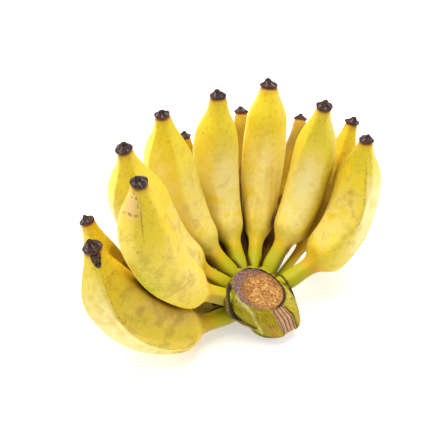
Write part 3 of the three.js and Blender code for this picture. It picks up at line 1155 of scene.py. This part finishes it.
def make_peel():
    peel = Finish("banana_peel", {
        "Specular IOR Level": 0.3, "Subsurface Weight": 0.06, "Subsurface Scale": 0.004,
        "Subsurface Radius": (1.0, 0.7, 0.15),
    })
    places = peel.places()
    distance = peel.attribute("distance") / MM
    stem = peel.attribute("stem")
    share = peel.attribute("share")
    hidden = peel.attribute("hidden")
    way_round = peel.attribute("round", "Vector")
    ripeness = peel.attribute("ripeness") * (1 - 0.8 * peel.attribute("lit_pale"))

    lengthwise = peel.node("CombineXYZ", {"Z": distance * 0.05})
    stretched = peel.node("VectorMath", {0: way_round, 1: lengthwise}, operation="ADD")
    fibres = peel.noise(stretched, 0.09, detail=3)
    clouds = peel.noise(places, 24 * MM, detail=2, roughness=0.5)
    patches = peel.noise(places, 9 * MM, detail=3, roughness=0.5, distortion=0.2)
    mottle = peel.noise(places, 2.4 * MM, detail=3, roughness=0.6)
    specks = peel.noise(places, 2.6 * MM, detail=1)
    spots = peel.noise(places, 3.2 * MM, detail=1, distortion=0.3)

    # The body: creamy inside the curve, greener outside, and deeper yellow towards the neck.
    inner = peel.node("SeparateXYZ", {"Vector": way_round}, output="X")
    middle = inner.ramp(0.1, 0.95) * share.ramp(0.12, 0.32) * (1 - share).ramp(0.22, 0.5)
    colour = peel.blend(YELLOW, PALE_YELLOW, (clouds + 0.4 * (patches - 0.5)).ramp(0.34, 0.60))
    colour = peel.blend(colour, CREAM_YELLOW, middle * patches.ramp(0.3, 0.6) * 0.7)
    # Painted light: the sides where the light falls are painted cream.
    colour = peel.blend(colour, CREAM_YELLOW, peel.attribute("lit_pale") * 0.95)
    colour = peel.blend(colour, WARM_YELLOW, patches.ramp(0.50, 0.66) * 0.4)
    outer = (1 - inner).ramp(0.35, 1.0) * (1 - peel.attribute("lit_pale"))
    colour = peel.blend(colour, GREENISH, outer * 0.3)
    towards_neck = (share + 0.3 * (clouds - 0.5)).ramp(0.66, 0.90)
    colour = peel.blend(colour, DEEP_YELLOW, towards_neck * 0.9)

    # Ripening: gold all over, painted amber shade on the lower row, brown clouds, olive spots, dark flecks.
    colour = peel.blend(colour, RIPE_GOLD, ripeness * 0.5)
    shade_amber = peel.attribute("shade_amber") * (0.45 + 0.55 * patches.ramp(0.35, 0.6))
    colour = peel.blend(colour, SHADE_AMBER, shade_amber)
    colour = peel.blend(colour, OLIVE, mottle.ramp(0.45, 0.8) * (0.04 + 0.2 * ripeness))
    browned = (0.6 * patches + 0.4 * clouds).ramp(0.48, 0.66)
    colour = peel.blend(colour, RIPE_BROWN, browned * (0.03 + 0.6 * ripeness))
    spotted = share.ramp(0.65, 0.9) * spots.ramp(0.56, 0.74)
    colour = peel.blend(colour, OLIVE, spotted * 0.4)
    green = peel.attribute("green") * (0.4 + 0.6 * mottle.ramp(0.4, 0.6))
    colour = peel.blend(colour, GREEN_TINGE, green)
    colour = peel.blend(colour, OLIVE, fibres.ramp(0.5, 0.75) * 0.12)
    flecked = specks.ramp(0.66, 0.72) * patches.ramp(0.46, 0.6)
    colour = peel.blend(colour, FLECK, flecked * (0.1 + 0.4 * ripeness))

    # The marks of single bananas, and painted shade in the gaps between them.
    colour = peel.blend(colour, SCAR, peel.attribute("scar") * 0.85)
    bruised = (peel.attribute("bruise") + 0.7 * (mottle - 0.5)).ramp(0.25, 0.75)
    colour = peel.blend(colour, FLECK, bruised * 0.65)
    # Painted shade: parts sunk between two bananas of the upper row.
    colour = peel.blend(colour, GAP_SHADE_OLIVE, peel.attribute("sunk_shade") * 0.8)
    # Painted shade: dull gold where other bananas keep the daylight off and where they stand near.
    colour = peel.blend(colour, GAP_SHADE_GOLD, hidden.ramp(0.15, 0.6) * 0.65)
    colour = peel.blend(colour, GAP_SHADE_GOLD, peel.attribute("touch").ramp(0.25, 0.65) * 0.6)

    # The stem: green at the crown, then yellow, and gold where it swells into the body.
    reached = stem + 0.9 * (clouds - 0.5)
    shoulder = (reached + 0.5 * (patches - 0.5)).ramp(0.9, 1.4)
    colour = peel.blend(colour, STEM_GOLD, (1 - shoulder) * peel.attribute("golden"))
    colour = peel.blend(STEM_YELLOW, colour, reached.ramp(0.6, 1.1))
    colour = peel.blend(LIME, colour, reached.ramp(0.35, 0.85))

    # Painted shade of stems and gaps lies over all of that; the neck and its stain come last.
    colour = peel.blend(colour, STEM_SHADE, peel.attribute("shade") * 0.75)
    # Painted shade: dark brown deep in the gaps.
    colour = peel.blend(colour, GAP_SHADE_BROWN, hidden.ramp(0.45, 0.8) * 0.9)
    # Painted contact shadow: the peel is nearly black where two bananas touch.
    contact_shadow = (peel.attribute("touch") + 0.05 * (mottle - 0.5)).ramp(0.56, 0.88)
    colour = peel.blend(colour, CONTACT_SHADOW_BROWN, contact_shadow * 0.95)
    neck = (share + 0.03 * (patches - 0.5)).ramp(0.955, 1.0)
    colour = peel.blend(colour, TIP_ORANGE, neck * 0.55)
    colour = peel.blend(colour, SCUFF, (share + 0.006 * mottle).ramp(0.988, 1.0) * 0.8)
    stained = (peel.attribute("stain") + 0.5 * (mottle - 0.5)).ramp(0.3, 0.55)
    colour = peel.blend(colour, STAIN, stained * (0.88 + 0.12 * mottle.ramp(0.4, 0.6)))

    roughness = 0.40 + 0.16 * mottle + 0.08 * fibres
    relief = 0.5 * fibres + 0.4 * mottle + 0.6 * patches
    return peel.finish(colour, roughness, peel.bump(relief, 0.28 * MM))


peel = make_peel()
print("the peel has", len(peel.node_tree.nodes), "nodes")

# %% [markdown]
# The marks that tell one banana from the next are painted as values on the skin: each is a soft spot
# or streak at a share along the banana and an angle round it. The pale sides are painted light, and
# the sunk parts painted shade. How ripe, how golden at the stem's end and how much amber shade a banana
# gets are values too, each the same all over its skin, so that all fifteen share one finish.

# %% Bruises, scars and ripeness
# A ripe banana is more golden, with more brown clouds and flecks.
PLAIN_RIPENESS = 0.15
RIPENESS = {
    "lower_finger_1": 0.9, "upper_finger_1": 0.75, "upper_finger_7": 0.6, "lower_finger_2": 0.5,
    "upper_finger_2": 0.45, "lower_finger_7": 0.7, "lower_finger_8": 0.5, "upper_finger_3": 0.3,
}

# How golden brown the stem's end is where it swells into the body.
PLAIN_GOLD = 0.35
GOLDEN = {
    "upper_finger_1": 0.8, "upper_finger_2": 0.9, "upper_finger_3": 0.7, "upper_finger_6": 0.6,
    "upper_finger_7": 1.0, "lower_finger_1": 0.9, "lower_finger_7": 0.9, "lower_finger_8": 0.9,
}
# How much amber shade is painted on a banana's yellow: the lower row lies in the shade of the upper.
SHADE_AMBER_SHARES = {
    "lower_finger_2": 0.15, "lower_finger_3": 0.5, "lower_finger_4": 0.5, "lower_finger_5": 1.0,
    "lower_finger_6": 1.0, "lower_finger_7": 1.0, "lower_finger_8": 0.25, "lower_finger_1": 0.15,
}
SCARS = {"upper_finger_1": [(0.92, -145, 0.045, 34, 1.3)]}
STAINS = {"lower_finger_1": [(0.99, -74, 0.03, 34, 1.2), (0.955, -78, 0.022, 16, 1.2)]}
BRUISES = {
    "upper_finger_1": [(0.975, -140, 0.008, 8, 0.9), (0.96, -122, 0.008, 7, 0.9),
                       (0.89, -144, 0.008, 14, 0.8), (0.895, -118, 0.006, 10, 0.8),
                       (0.955, -152, 0.006, 8, 0.8), (0.88, -168, 0.006, 10, 0.7),
                       (0.93, -112, 0.012, 5, 0.7), (0.90, -101, 0.06, 3.5, 0.6),
                       (0.81, -102, 0.05, 3.5, 0.5)],
    "lower_finger_1": [(0.40, -103, 0.018, 6, 0.6), (0.88, -42, 0.014, 5, 0.6), (0.51, -24, 0.015, 6, 0.4),
                       (0.71, -78, 0.014, 5, 0.4)],
    "upper_finger_7": [(0.15, 68, 0.02, 16, 0.35)],
    "upper_finger_4": [(0.82, -69, 0.010, 5, 0.6), (0.75, 24, 0.012, 6, 0.35)],
    "upper_finger_5": [(0.91, -57, 0.010, 6, 0.5)],
}
# Painted light: paler sides and edges where the light falls on a banana.
LIT_PALE_SIDES = {
    "upper_finger_1": [(0.72, 178, 0.16, 30, 0.7), (0.80, -135, 0.08, 18, 0.3), (0.38, -78, 0.09, 30, 0.2)],
    "upper_finger_2": [(0.70, -118, 0.22, 34, 1.0)],
    "upper_finger_3": [(0.80, -66, 0.12, 24, 0.6), (0.60, -66, 0.15, 24, 0.5)],
    "upper_finger_6": [(0.55, 10, 0.24, 32, 1.0)],
    "upper_finger_5": [(0.60, 0, 0.20, 38, 0.7)],
    "upper_finger_4": [(0.55, 6, 0.20, 38, 0.8)],
    "upper_finger_7": [(0.85, 88, 0.10, 22, 1.0), (0.70, 98, 0.12, 25, 1.0), (0.55, 114, 0.12, 25, 1.0),
                       (0.40, 126, 0.12, 25, 0.8)],
    "lower_finger_1": [(0.91, -128, 0.06, 26, 1.0), (0.80, -137, 0.09, 28, 1.0),
                       (0.65, -148, 0.10, 30, 1.0), (0.50, -160, 0.10, 32, 1.0),
                       (0.36, -170, 0.10, 34, 0.9)],
}
GREEN_SIDES = {
    "upper_finger_1": [(0.63, -135, 0.08, 20, 0.7), (0.53, -128, 0.07, 26, 0.9),
                       (0.70, -111, 0.05, 14, 0.5)],
    "upper_finger_7": [(0.91, -20, 0.04, 50, 0.6)],
    "upper_finger_6": [(0.62, 66, 0.2, 16, 0.5), (0.62, -58, 0.2, 14, 0.3), (0.90, -10, 0.04, 40, 0.3)],
    "upper_finger_3": [(0.82, 40, 0.07, 20, 0.3)],
    "lower_finger_1": [(0.59, -72, 0.04, 12, 0.7), (0.42, -110, 0.04, 10, 0.5)],
}
# Parts that lie deep between two bananas of the upper row are painted brown all round as shade.
ALL_ROUND = 999                  # degrees, so wide that the spot doesn't fade
SUNK_BETWEEN = [(0.88, 0, 0.08, ALL_ROUND, 0.9), (0.74, 0, 0.09, ALL_ROUND, 0.9)]
SUNK_SHADE_PARTS = {
    "lower_finger_5": SUNK_BETWEEN, "lower_finger_6": SUNK_BETWEEN, "lower_finger_7": SUNK_BETWEEN,
    "lower_finger_8": [(0.42, 0, 0.18, ALL_ROUND, 0.8)],
}
# A long ridge is worn brown: how wide, in degrees, and how strongly.
WORN_RIDGES = {"lower_finger_1": (2.2, 0.6), "upper_finger_7": (6.0, 0.45), "upper_finger_1": (2.0, 0.4)}
MARKS = {
    "scar": SCARS, "bruise": BRUISES, "lit_pale": LIT_PALE_SIDES, "green": GREEN_SIDES, "stain": STAINS,
    "sunk_shade": SUNK_SHADE_PARTS,
}
for node, banana in bananas.items():
    marks = {attribute: mark(banana, places_of.get(node, ())) for attribute, places_of in MARKS.items()}
    if node in LONG_RIDGES:
        beyond = beyond_ridge(node)
        if LONG_RIDGES[node][2]:
            # On a long ridge, the side beyond it is painted pale as lit.
            facet = soft(beyond, -1, 7) * (1 - soft(beyond, 70, 110))
            marks["lit_pale"] = np.maximum(marks["lit_pale"] * (beyond > 0), facet * along_ridge(node))
        worn_width, worn = WORN_RIDGES[node]
        marks["bruise"] += worn * near(beyond, 0, worn_width) * along_ridge(node)
    for attribute, values in marks.items():
        write_attribute(banana, attribute, np.clip(values, 0, 1))
    points_here = len(banana.data.vertices)
    write_attribute(banana, "ripeness", np.full(points_here, RIPENESS.get(node, PLAIN_RIPENESS)))
    write_attribute(banana, "golden", np.full(points_here, GOLDEN.get(node, PLAIN_GOLD)))
    write_attribute(banana, "shade_amber", np.full(points_here, SHADE_AMBER_SHARES.get(node, 0.0)))
    paint(banana, peel)
print(len(bananas), "bananas painted")

# %% [markdown]
# ## Dry flower
#
# The dry flower is nearly black in its folds. Its crests are worn to a dusty grey brown that is partly a
# painted highlight, and its lip, where it joins the peel, is the colour of wood.

# %% The flower's finish
FLOWER_DARK = srgb(34, 22, 24)
FLOWER_BROWN = srgb(78, 50, 40)
FLOWER_DUST_SHEEN = srgb(134, 116, 108)
FLOWER_LIP = srgb(128, 74, 50)


def make_dry_flower():
    dry = Finish("dry_flower", {"Specular IOR Level": 0.3})
    places = dry.places()
    up = dry.attribute("up")
    crest = dry.attribute("crest")
    grit = dry.noise(places, 1.4 * MM, detail=3, roughness=0.6)
    dust = dry.noise(places, 3.5 * MM, detail=2)
    colour = dry.blend(FLOWER_DARK, FLOWER_BROWN, grit.ramp(0.42, 0.62))
    # Dust on the crests, partly a painted highlight.
    worn = (crest + 1.2 * (grit - 0.5)).ramp(0.55, 0.95) * (1 - up).ramp(0.1, 0.5)
    colour = dry.blend(colour, FLOWER_DUST_SHEEN, worn * dust.ramp(0.35, 0.6) * 0.75)
    lip = (1 - up + 0.25 * (grit - 0.5)).ramp(0.80, 0.97)
    colour = dry.blend(colour, FLOWER_LIP, lip * (0.4 + 0.6 * dust.ramp(0.35, 0.6)))
    return dry.finish(colour, 0.55 + 0.3 * grit, dry.bump(grit, 0.5 * MM))


dry_flower = make_dry_flower()
for piece in flowers.values():
    paint(piece, dry_flower)
print("the flower's finish has", len(dry_flower.node_tree.nodes), "nodes")

# %% [markdown]
# ## Cut stalk
#
# The crown takes its colour from the values that were measured on it: yellow-green skin with darker
# streaks along the grain, a pinkish torn strip, a black dried lip, and the brown face whose fibres end
# in dark dots. The face is orange in the middle and dries to purple towards its rim.

# %% The crown's colours
STALK_LIME = srgb(172, 160, 4)
STALK_OLIVE = srgb(150, 128, 6)
STALK_YELLOW = srgb(192, 166, 10)
STALK_RUST = srgb(194, 132, 40)
STALK_DARK = srgb(88, 76, 16)
CREAM = srgb(222, 208, 138)
STRIP_PINK = srgb(214, 170, 128)
STRIP_TAN = srgb(190, 144, 100)
STRIP_BROWN = srgb(88, 50, 32)
CUT_ORANGE = srgb(206, 144, 72)
CUT_PALE = srgb(230, 184, 114)
CUT_BROWN = srgb(134, 80, 40)
CUT_DOT = srgb(104, 60, 40)
CUT_PURPLE = srgb(104, 74, 76)
CUT_GREY = srgb(150, 128, 122)
RIM_DARK = srgb(50, 38, 30)
LIP_OLIVE = srgb(150, 126, 54)
print("green stalk skin, as light, is", [round(share, 2) for share in STALK_LIME])

# %% The crown's finish


def make_stalk():
    stalk = Finish("cut_stalk", {"Specular IOR Level": 0.15})
    places = stalk.places()
    grain = stalk.attribute("grain", "Vector")
    cut = stalk.attribute("cut")
    lip = stalk.attribute("lip")

    streaks = stalk.noise(grain, 1.6 * MM, detail=3, roughness=0.6)
    broad = stalk.noise(grain, 5 * MM, detail=2)
    clouds = stalk.noise(places, 8 * MM, detail=2)
    dots = stalk.noise(places, 1.0 * MM, detail=2, roughness=0.6)
    patches = stalk.noise(places, 3.5 * MM, detail=2)
    blots = stalk.noise(places, 2 * MM, detail=3, roughness=0.6)

    # The skin: green all round, yellow and rusty on the right, with dark streaks and cream patches.
    colour = stalk.blend(STALK_LIME, STALK_OLIVE, broad.ramp(0.4, 0.6) * 0.8)
    colour = stalk.blend(colour, STALK_LIME, stalk.attribute("lobe") * 0.7)
    warm = stalk.attribute("facing_right") * (0.35 + 0.65 * broad.ramp(0.38, 0.55))
    colour = stalk.blend(colour, STALK_YELLOW, warm)
    colour = stalk.blend(colour, STALK_RUST, stalk.attribute("rusty") * broad.ramp(0.35, 0.55) * 0.85)
    low = (1 - stalk.attribute("height")).ramp(0.3, 0.9) * stalk.attribute("facing_right")
    colour = stalk.blend(colour, STALK_RUST, low * broad.ramp(0.3, 0.6) * 0.6)
    colour = stalk.blend(colour, STALK_DARK, streaks.ramp(0.50, 0.66) * clouds.ramp(0.32, 0.52) * 0.7)
    colour = stalk.blend(colour, CREAM, stalk.attribute("cream") * streaks.ramp(0.62, 0.42) * 0.8)
    colour = stalk.blend(colour, LIME, stalk.attribute("cushion"))
    # Painted shade: the web between the roots is coloured as the stems' shade.
    colour = stalk.blend(colour, STEM_SHADE, stalk.attribute("web"))
    ribbed = stalk.attribute("rib").ramp(0.5, 1.0) * streaks.ramp(0.7, 0.45)
    colour = stalk.blend(colour, CREAM, ribbed * 0.8)

    # The torn strip, and the dark lines and edges round it all.
    strip_colour = stalk.blend(STRIP_PINK, STRIP_TAN, streaks.ramp(0.4, 0.6))
    strip_colour = stalk.blend(strip_colour, STRIP_BROWN, stalk.attribute("groove").ramp(0.7, 1.0))
    colour = stalk.blend(colour, strip_colour, stalk.attribute("strip"))
    # Painted shade in part: the dark seam and dark edge behind the cut stand for its dark rim and shadow.
    colour = stalk.blend(colour, RIM_DARK, stalk.attribute("seam").ramp(0.3, 0.8) * 0.8)
    colour = stalk.blend(colour, RIM_DARK, stalk.attribute("edge").ramp(0.2, 0.8) * 0.75)
    colour = stalk.blend(colour, RIM_DARK, stalk.attribute("dark_edge").ramp(0.2, 0.8) * 0.85)
    colour = stalk.blend(colour, RIM_DARK, lip.ramp(0.1, 0.4))
    core = stalk.attribute("lip_top") * (0.4 + 0.6 * blots.ramp(0.35, 0.6))
    colour = stalk.blend(colour, LIP_OLIVE, core * 0.85)

    # The cut face: orange fibres with dark dots, which dry to brown and purple towards the rim.
    dried = stalk.attribute("dried") + 0.5 * (patches - 0.5)
    face = stalk.blend(CUT_PALE, CUT_ORANGE, blots.ramp(0.36, 0.60))
    face = stalk.blend(face, CUT_BROWN, (dots + 0.5 * (blots - 0.5)).ramp(0.40, 0.68) * 0.75)
    face = stalk.blend(face, CUT_DOT, dots.ramp(0.58, 0.74) * 0.6)
    aged = stalk.blend(CUT_PURPLE, CUT_GREY, dots.ramp(0.54, 0.42))
    face = stalk.blend(face, CUT_BROWN, clouds.ramp(0.42, 0.66) * 0.45)
    face = stalk.blend(face, CUT_BROWN, dried.ramp(0.45, 0.9) * 0.6)
    face = stalk.blend(face, aged, dried.ramp(0.7, 1.08) * 0.85)
    colour = stalk.blend(colour, face, cut)
    colour = stalk.blend(colour, RIM_DARK, stalk.attribute("rim").ramp(0.35, 0.8) * 0.9)

    roughness = 0.5 + 0.35 * cut + 0.1 * streaks
    relief = streaks + cut * dots
    return stalk.finish(colour, roughness, stalk.bump(relief, 0.4 * MM))


cut_stalk = make_stalk()
paint(crown, cut_stalk)
print("the crown's finish has", len(cut_stalk.node_tree.nodes), "nodes")

# %% [markdown]
# ## Putting the pieces on the hand
#
# The hand has no moving parts, so every piece rides on its one body. Each piece stands in for the solid
# that it was made from, which is hidden.

# %% Riding and replacing
for node, piece in [*bananas.items(), *flowers.items(), ("crown", crown)]:
    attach(piece, "root")
    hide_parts(node)
print(len(bananas) + len(flowers) + 1, "pieces dress", len(NODES), "solids")

# %% [markdown]
# ## Floor, light and camera
#
# A pale floor and soft light from all round keep the fruit bright. A broad source overhead shades the
# ridges softly, and one low at each side brightens the edges. The camera looks down on the hand from
# the side of the cut stalk, with the crown low in the middle and the bananas fanned out behind it.

# %% The floor
FLOOR_GLOW = 0.42                # a table that is lit from inside keeps the shadows pale

bpy.ops.object.select_all(action="DESELECT")
bpy.ops.mesh.primitive_plane_add(size=40, location=(0, 0, FLOOR_Z))
floor = bpy.context.object
floor.name = "pale_floor"
floor_paint = Finish("pale_floor", {"Emission Color": (1, 1, 1, 1), "Emission Strength": FLOOR_GLOW})
floor_places = floor_paint.places()
floor_clouds = floor_paint.noise(floor_places, 0.4)
floor_shade = floor_paint.blend(srgb(247, 247, 247), srgb(243, 243, 243), floor_clouds)
floor_grain = floor_paint.bump(floor_paint.noise(floor_places, 0.01), 0.02 * MM)
paint(floor, floor_paint.finish(floor_shade, 0.9, floor_grain))
floor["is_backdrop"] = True
print("the floor is at", FLOOR_Z)

# %% The light
SKY_STRENGTH = 0.45

world = bpy.data.worlds.new("soft_room")
bpy.context.scene.world = world
world.use_nodes = True
sky = world.node_tree.nodes["Background"]
sky.inputs["Color"].default_value = (1, 1, 1, 1)
sky.inputs["Strength"].default_value = SKY_STRENGTH


def add_soft_light(name, place, size, power):
    data = bpy.data.lights.new(name, "AREA")
    data.size = size
    data.energy = power
    light = bpy.data.objects.new(name, data)
    bpy.context.scene.collection.objects.link(light)
    light.location = Vector(place)
    light.rotation_euler = (-Vector(place)).to_track_quat("-Z", "Y").to_euler()
    return light


add_soft_light("overhead", (-0.25, 0.25, 1.3), size=1.2, power=19.5)
add_soft_light("left_edge", (-1.1, 0.5, 0.45), size=0.9, power=9)
add_soft_light("right_edge", (1.1, 0.6, 0.45), size=0.9, power=7)
bpy.context.scene.view_settings.view_transform = "Standard"
print("three soft lights and a bright room")

# %% The camera
VIEW_HEIGHT = 43                 # degrees above the floor
VIEW_ROLL = 8
VIEW_DISTANCE = 707 * MM
VIEW_RIGHT = -26.5 * MM          # from the crown to the middle of the view, across and up it
VIEW_UP = 49.5 * MM

camera_data = bpy.data.cameras.new("camera")
camera_data.lens = 76.5
camera = bpy.data.objects.new("camera", camera_data)
bpy.context.scene.collection.objects.link(camera)
bpy.context.scene.camera = camera
tilted = Matrix.Rotation(math.radians(90 - VIEW_HEIGHT), 4, "X")
turned = tilted @ Matrix.Rotation(math.radians(VIEW_ROLL), 4, "Z")
view_place = CROWN + turned @ Vector((VIEW_RIGHT, VIEW_UP, VIEW_DISTANCE))
camera.matrix_world = Matrix.Translation(view_place) @ turned
camera_data.clip_start = 0.05
print("the camera is", [round(c, 3) for c in camera.location])

DRESSED_BOX = [list(corner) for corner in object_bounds()]
box_pairs = zip(CAD_BOX[0] + CAD_BOX[1], DRESSED_BOX[0] + DRESSED_BOX[1])
print("grown by", [round((dressed - solid) / MM, 1) for solid, dressed in box_pairs], "mm")
